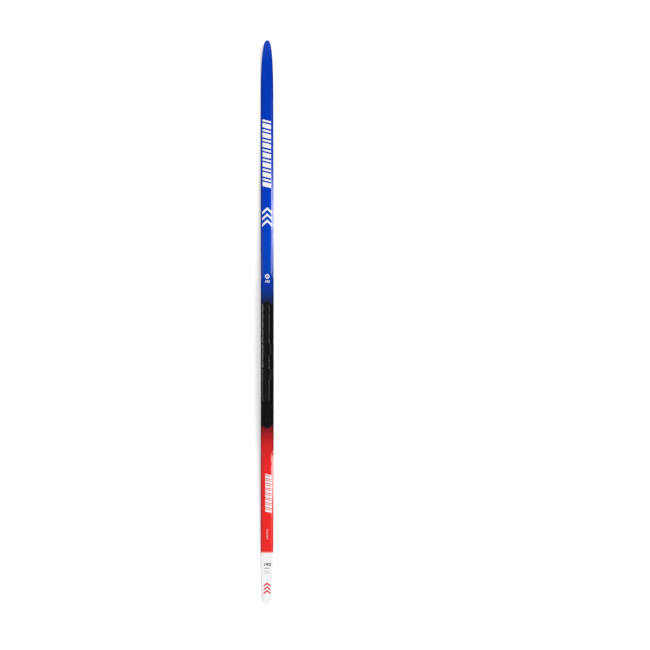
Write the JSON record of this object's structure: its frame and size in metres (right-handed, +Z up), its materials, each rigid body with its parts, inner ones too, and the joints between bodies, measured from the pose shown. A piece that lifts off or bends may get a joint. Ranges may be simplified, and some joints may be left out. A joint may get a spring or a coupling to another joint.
{
  "type": "cross country ski",
  "caption": "Long narrow cross country ski with a raised tip, bevelled top, grooved base and a slide-on binding plate.",
  "frame": {"origin": "middle of the length and width, at the height of the two contact zones of the base", "axes": "+X towards the tip, +Y to the skier's left, +Z up out of the top sheet"},
  "size_m": [1.92, 0.0442, 0.0542],
  "materials": {
    "printed_film": "gloss",
    "running_base": "satin",
    "fibre_laminate": "satin",
    "sidewall_plastic": "satin",
    "core_wood": "raw",
    "filler_plastic": "matt",
    "plate_plastic": "satin",
    "bonding_film": "satin"
  },
  "bodies": {
    "root": {"base_sheet": "running_base", "lower_laminate": "fibre_laminate", "sidewall_left": "sidewall_plastic", "sidewall_right": "sidewall_plastic", "mount_reinforcement": "fibre_laminate", "top_sheet": "printed_film", "torsion_cap": "fibre_laminate", "core_strip_1": "core_wood", "core_strip_2": "core_wood", "core_strip_3": "core_wood", "core_strip_4": "core_wood", "core_strip_5": "core_wood", "tip_spacer": "filler_plastic", "tail_spacer": "filler_plastic", "plate_adhesive": "bonding_film", "binding_plate": "plate_plastic"}
  },
  "joints": []
}
